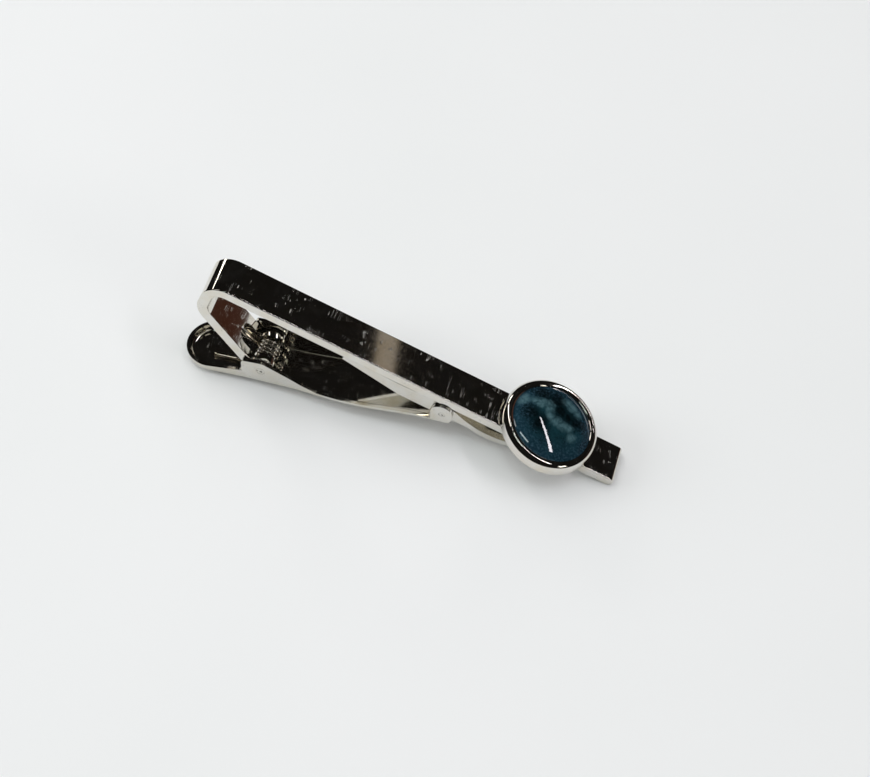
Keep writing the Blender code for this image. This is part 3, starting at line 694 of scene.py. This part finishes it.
def make_lever():
    floor, inside = -FLOOR_DEPTH, SHEET - FLOOR_DEPTH
    rounds = (STAMP_ROUND, TAB_ROUND)
    lever = tray("lever_stamped", 0, floor, 2 * FLANGE_RISE, *rounds, LEVER_METAL)
    cut(lever, [prism("lever_side", lever_side(), TAB_WIDTH, LEVER)], "INTERSECT")
    rounds = (STAMP_ROUND / 2, TAB_ROUND - SHEET)
    hollow = tray("lever_hollow", SHEET, inside, 3 * FLANGE_RISE, *rounds)
    cut(lever, [hollow, floor_end(), near_trim()])
    bevelled(lever, STAMP_EDGE, 3)
    at_jaw_pin = LEVER @ Matrix.Translation((JAW_PIN_X, 0, JAW_PIN_Z))
    pivot_bore = rod("pivot_bore", PIVOT_RADIUS, TAB_WIDTH, LEVER)
    jaw_bore = rod("ear_bore", JAW_PIN_RADIUS, TAB_WIDTH, at_jaw_pin)
    cut(lever, [pivot_bore, jaw_bore])
    finished(flat_faced(lever), "lever", "clip_lever")


def make_pin(name, node, radius, half_length, centre, mark):
    """A rivet flush with the sheet, with a large and a small punch mark in each end."""
    place = LEVER @ Matrix.Translation((centre[0], 0, centre[1]))
    size = (radius - RIVET_PLAY, half_length - RIVET_RECESS)
    rivet = rod(name, *size, place, PIN_METAL, RIVET_EDGE)
    marks = []
    for side in (-1, 1):
        end, dot = side * half_length, (-radius * DOT_PLACE, side * half_length, 0)
        marks.append(pit(f"{name}_mark_{side}", (mark / 2, end, -mark / 2), mark, place))
        marks.append(pit(f"{name}_dot_{side}", dot, mark * DOT_SHARE, place))
    cut(rivet, marks)
    finished(flat_faced(rivet), "lever", node)


# ------------------------------------------------------ jaw leaf
def strip_back_above_jaw_pin():
    rise = JAW_PIN_X * math.sin(LEVER_ANGLE)
    jaw_pin = PIVOT_IN_BAR[1] + rise + JAW_PIN_Z * math.cos(LEVER_ANGLE)
    return -STRIP_THICKNESS - jaw_pin


def jaw_face(x):
    """Height of the gripping face above the jaw pin: a shallow bow behind and a deep bow ahead."""
    contact = strip_back_above_jaw_pin() - JAW_CONTACT_GAP
    if 0 <= x <= JAW_FRONT_SPAN:
        return contact - JAW_FRONT_BOW * math.sin(math.pi * x / JAW_FRONT_SPAN)
    if x > JAW_FRONT_SPAN:
        return contact - JAW_LEAD_DROP * ((x - JAW_FRONT_SPAN) / (JAW_NOSE - JAW_FRONT_SPAN)) ** 2
    rear_span = JAW_TAIL - JAW_TAIL_LEAD
    if x >= -rear_span:
        return contact - JAW_REAR_BOW * math.sin(math.pi * x / -rear_span)
    return contact - JAW_LEAD_DROP * ((x + rear_span) / JAW_TAIL_LEAD) ** 2


def jaw_under(x):
    """Height of the lower edge of the turned-down sides, which are deepest round the pin."""
    from_end = min(x + JAW_TAIL, JAW_NOSE - x)
    turned_down = (JAW_SIDE_DEPTH - JAW_SHEET) * min(1.0, from_end / JAW_SIDE_FADE)
    side = jaw_face(x) - JAW_SHEET - turned_down
    if x < -JAW_LUG_REACH:
        tail = jaw_face(-JAW_TAIL) - JAW_SHEET
        share = (x + JAW_LUG_REACH) / (JAW_LUG_REACH - JAW_TAIL)
        return share * tail - (1 - share) * JAW_LUG_DEPTH
    return min(side, -JAW_LUG_DEPTH) if x < JAW_FRONT_SPAN / 2 else side


def make_jaw():
    stations = np.linspace(-JAW_TAIL, JAW_NOSE, 120)
    outline = [(x, jaw_face(x)) for x in stations] + [(x, jaw_under(x)) for x in stations[::-1]]
    half = EAR_WIDTH / 2 - SHEET - SIDE_PLAY
    jaw = prism("jaw_pressed", outline, half, JAW, LEVER_METAL)
    ends = np.linspace(-JAW_TAIL - 1, JAW_NOSE + 1, 120)
    hollow = [(x, jaw_face(np.clip(x, -JAW_TAIL, JAW_NOSE)) - JAW_SHEET) for x in ends]
    hollow += [(ends[-1], -3 * FLOOR_DEPTH), (ends[0], -3 * FLOOR_DEPTH)]
    cut(jaw, [prism("jaw_hollow", hollow, half - JAW_SHEET, JAW)])
    bevelled(jaw, JAW_EDGE, 3)
    cut(jaw, [rod("jaw_bore", JAW_PIN_RADIUS + PIN_GAP, EAR_WIDTH, JAW)])
    finished(flat_faced(jaw), "jaw", "jaw_leaf")


# ------------------------------------------------------ torsion spring
def spring_path():
    """The wire's centre line in the lever frame: tab leg, coil, arm leg."""
    tab_rest = np.array([-LEG_TO_TAB, SHEET - FLOOR_DEPTH + WIRE_RADIUS + SEAT_GAP])
    arm_turn = math.pi - LEVER_ANGLE - math.radians(90 - HEEL_TURN)
    arm_way = np.array([math.cos(arm_turn), math.sin(arm_turn)])
    arm_under = np.array([-arm_way[1], arm_way[0]])
    below = STRIP_THICKNESS + PIVOT_RADIUS + PIN_GAP + WIRE_RADIUS + SEAT_GAP
    arm_rest = LEG_TO_ARM * arm_way + below * arm_under
    elbow = LEG_ELBOW * arm_way + below * arm_under
    touches = [tangent_point(leg, (0, 0), COIL_RADIUS) for leg in (tab_rest, elbow)]
    start, end = (math.atan2(z, x) for x, z in touches)
    sweep = (end - start) % (2 * math.pi) + 2 * math.pi * (COIL_TURNS - 1)
    path = [(tab_rest[0], -COIL_HALF, tab_rest[1])]
    for share in np.linspace(0, 1, 24 * COIL_TURNS + 1):
        angle = start + sweep * share
        x, z = COIL_RADIUS * math.cos(angle), COIL_RADIUS * math.sin(angle)
        path.append((x, COIL_HALF * (2 * share - 1), z))
    return path + [(elbow[0], COIL_HALF, elbow[1]), (arm_rest[0], COIL_HALF, arm_rest[1])]


def corner_cut(path):
    """Chaikin's corner cutting, with the ends kept."""
    points = [path[0]]
    for a, b in zip(path, path[1:]):
        points += [a * 0.75 + b * 0.25, a * 0.25 + b * 0.75]
    return points + [path[-1]]


def collar(end, following):
    """A ring just inside the wire's end and as wide as the wire, so that the end looks rounded."""
    half = len(end) // 2
    ring = []
    for k, (near, far) in enumerate(zip(end, following)):
        swell = (far - following[k - half]) * COLLAR_SWELL
        ring.append(near.lerp(far, COLLAR_PLACE) + swell)
    return ring


def wire(name, path, radius, matrix, material):
    """A round wire along the path, its section carried along without twist, its ends narrowed."""
    path = [Vector(point) for point in path]
    for _ in range(2):
        path = corner_cut(path)
    last = len(path) - 1
    side = Vector((0, 1, 0))
    rings = []
    for i, point in enumerate(path):
        way = (path[min(i + 1, last)] - path[max(i - 1, 0)]).normalized()
        side = (side - way * side.dot(way)).normalized()
        other = way.cross(side)
        reach = radius * (WIRE_END_SHARE if i in (0, last) else 1)
        spokes = [math.cos(a) * side + math.sin(a) * other for a in full_turn(WIRE_SIDES)]
        rings.append([point + reach * spoke for spoke in spokes])
    rings.insert(1, collar(rings[0], rings[1]))
    return lofted(name, rings, matrix, material, crease=WIRE_CREASE)


def make_spring():
    spring = wire("spring_coiled", spring_path(), WIRE_RADIUS, LEVER, WIRE_METAL)
    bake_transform(spring)
    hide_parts("torsion_spring")


# ------------------------------------------------------ bezel cup and stone
def make_cup():
    """Cup with an upright foot, a round shoulder, a burnished bead and a slope to the stone."""
    foot = (CUP_RADIUS - CUP_FOOT_ROUND, CUP_BASE + CUP_FOOT_ROUND)
    shoulder = (CUP_RADIUS - CUP_SHOULDER, CUP_BASE + CUP_WALL)
    reach = STONE_RADIUS + STONE_GAP
    lip_share = STONE_SEEN / reach
    lip = STONE_GIRDLE + (STONE_DOME + LIP_GAP) * math.sqrt(1 - lip_share**2)
    profile = [(0, CUP_BASE), (foot[0], CUP_BASE)]
    profile += arc(foot, CUP_FOOT_ROUND, 285, 360, 6)
    profile += arc(shoulder, (CUP_SHOULDER, CUP_TOP - shoulder[1]), 0, 64, 24)
    bead = profile[-1]
    profile += [(bead[0] + out, bead[1] + up) for out, up in BEAD_STEPS]
    profile += [(STONE_SEEN + out, lip + up) for out, up in LIP_STEPS]
    start = math.degrees(math.acos(lip_share))
    profile += arc((0, STONE_GIRDLE), (reach, STONE_DOME + STONE_GAP), start, 0, 8)
    profile += [(reach, CUP_BASE + CUP_FLOOR), (0, CUP_BASE + CUP_FLOOR)]
    cup = turned("bezel_cup_burnished", profile, CUP, CUP_METAL)
    finished(cup, "strip", "bezel_cup")


def make_stone():
    profile = arc((0, STONE_GIRDLE), (STONE_RADIUS, STONE_DOME), 90, 0, 48)
    profile += [(STONE_RADIUS, STONE_BASE + STONE_CHAMFER)]
    profile += [(STONE_RADIUS - STONE_CHAMFER, STONE_BASE), (0, STONE_BASE)]
    stone = turned("cabochon_glazed", profile, CUP, GLAZE)
    finished(stone, "strip", "cabochon")


def finish_node(name, material):
    """Gives a CAD node that keeps its shape its material and slot."""
    node = frame["nodes"][name]
    node.data.materials.clear()
    node.data.materials.append(material)


make_strip()
make_lever()
make_pin("pivot_rivet", "pivot_pin", PIVOT_RADIUS, lever_width() / 2, (0, 0), PIVOT_MARK)
make_pin("jaw_rivet", "jaw_pin", JAW_PIN_RADIUS, EAR_WIDTH / 2, (JAW_PIN_X, JAW_PIN_Z), JAW_MARK)
make_jaw()
make_spring()
make_cup()
make_stone()
finish_node("solder_joint", SOLDER_METAL)
finish_node("adhesive_bed", RESIN)


# ------------------------------------------------------ table, light, camera
TABLE_NEAR, TABLE_FAR = 0.08, 0.6  # half sides in metres
CARD_DISTANCE = 2.5  # metres from the stone: far, so that reflections stay put along the strip
STONE_PLACE = BAR @ Vector((CUP_CENTRE, 0, 0))
CAMERA_PLACE = (-10.822, -145.054, 206.384)  # in the bar frame
CAMERA_TURN = (29.3716, -21.3766, 17.4525)  # in degrees, in the bar frame
CAMERA_LENS, CAMERA_SENSOR = 82.76, 36
WORLD_COLOUR, WORLD_STRENGTH = (1, 0.93, 0.85, 1), 0.008


def square(half):
    return [(x * half, y * half, 0) for x, y in ((-1, -1), (1, -1), (1, 1), (-1, 1))]


def make_table():
    """A pale sheet under the clip and a wider one round it, which the metal doesn't mirror."""
    paint = toned("pale table", 14, 2, [(0.3, (0.83, 0.845, 0.84)), (0.7, (0.86, 0.87, 0.868))])
    paint.set(Roughness=0.85, Specular_IOR_Level=0.15)
    bm = bmesh.new()
    bm.faces.new([bm.verts.new(corner) for corner in square(TABLE_NEAR)])
    add_mesh("table", bm, Matrix.Identity(4), paint.material)
    rings = [square(TABLE_NEAR), square(TABLE_FAR)]
    around = lofted("table_around", rings, Matrix.Identity(4), paint.material, caps=False)
    around.visible_glossy = False


def area_light(name, place, size, power, colour=(1, 1, 1)):
    """A soft lamp aimed at the middle of the clip, which the metal doesn't mirror."""
    lamp = bpy.data.lights.new(name, "AREA")
    lamp.shape = "RECTANGLE"
    lamp.size, lamp.size_y = size
    lamp.energy = power
    lamp.color = colour
    obj = bpy.data.objects.new(name, lamp)
    obj.location = place
    obj.rotation_mode = "QUATERNION"
    obj.rotation_quaternion = (-Vector(place)).to_track_quat("-Z", "Y")
    obj.visible_glossy = False
    bpy.context.scene.collection.objects.link(obj)


def glow_card(name, ends, widths, strength, colour):
    """A glowing card for the metal to mirror: two directions from the stone, and widths there."""
    first, last = (Vector(end).normalized() for end in ends)
    across = (last - first).cross(first).normalized()
    bm = bmesh.new()
    corners = []
    for way, width, sides in ((first, widths[0], (-1, 1)), (last, widths[1], (1, -1))):
        for side in sides:
            corner = STONE_PLACE + CARD_DISTANCE * (way + side * width / 2 * across)
            corners.append(bm.verts.new(corner))
    bm.faces.new(corners)
    paint = Paint(name)
    black, glow = (0, 0, 0, 1), (*colour, 1)
    paint.set(Base_Color=black, Emission_Color=glow, Emission_Strength=strength)
    card = add_mesh(name, bm, Matrix.Identity(4), paint.material)
    card.visible_camera = False
    card.visible_shadow = False


def make_camera():
    """The camera stands over the near side of the clip and leans a little to its right."""
    data = bpy.data.cameras.new("camera")
    data.sensor_width = CAMERA_SENSOR
    data.lens = CAMERA_LENS
    data.clip_start, data.clip_end = 0.01, 10
    turn = Euler([math.radians(angle) for angle in CAMERA_TURN]).to_matrix().to_4x4()
    view = BAR @ Matrix.Translation(CAMERA_PLACE) @ turn
    camera = bpy.data.objects.new("camera", data)
    camera.rotation_mode = "QUATERNION"
    camera.rotation_quaternion = view.to_quaternion()
    camera.location = view.to_translation()
    bpy.context.scene.collection.objects.link(camera)
    bpy.context.scene.camera = camera


def make_lights():
    area_light("soft overhead", (-0.35, 0.15, 0.75), (1.8, 1.8), 9.5)
    area_light("soft fill", (0.7, -0.5, 0.6), (1.0, 1.0), 2.2)
    area_light("left window", (-0.85, -0.2, 0.42), (0.5, 0.35), 3, (0.95, 0.98, 1.0))
    ends = ((0.248, 0.502, 0.829), (0.606, -0.104, 0.788))
    glow_card("window gap", ends, (0.016, 0.07), 16, (1, 0.95, 1))
    ends = ((-0.207, -0.083, 0.975), (0.069, -0.237, 0.969))
    glow_card("ceiling lamp", ends, (0.09, 0.07), 7, (0.85, 1, 1))
    ends = ((0.33, 0.60, 0.72), (0.36, 0.54, 0.76))
    glow_card("beige wall", ends, (0.012, 0.012), 0.3, (1, 0.86, 0.7))
    ends = ((-0.66, 0.5, 0.51), (-0.4, 0.0, 0.9))
    glow_card("lamp arm", ends, (0.06, 0.09), 5, (1, 0.96, 0.93))
    ends = ((-0.75, 0.55, 0.3), (-0.6, 0.75, 0.3))
    glow_card("back lamp", ends, (0.12, 0.12), 6, (1, 0.97, 0.9))
    ends = ((0.95, -0.3, 0.35), (0.85, -0.5, 0.3))
    glow_card("right lamp", ends, (0.12, 0.12), 6, (1, 0.97, 0.9))
    ends = ((0.8, 0.9, 0.05), (0.95, 0.2, 0.05))
    glow_card("brown room", ends, (0.5, 0.5), 0.05, (1, 0.38, 0.24))


def make_world():
    """A nearly dark, warm room."""
    world = bpy.data.worlds.new("studio")
    bpy.context.scene.world = world
    world.use_nodes = True
    background = world.node_tree.nodes["Background"]
    background.inputs["Color"].default_value = WORLD_COLOUR
    background.inputs["Strength"].default_value = WORLD_STRENGTH


make_table()
make_camera()
make_lights()
make_world()
bpy.context.scene.view_settings.view_transform = "Standard"
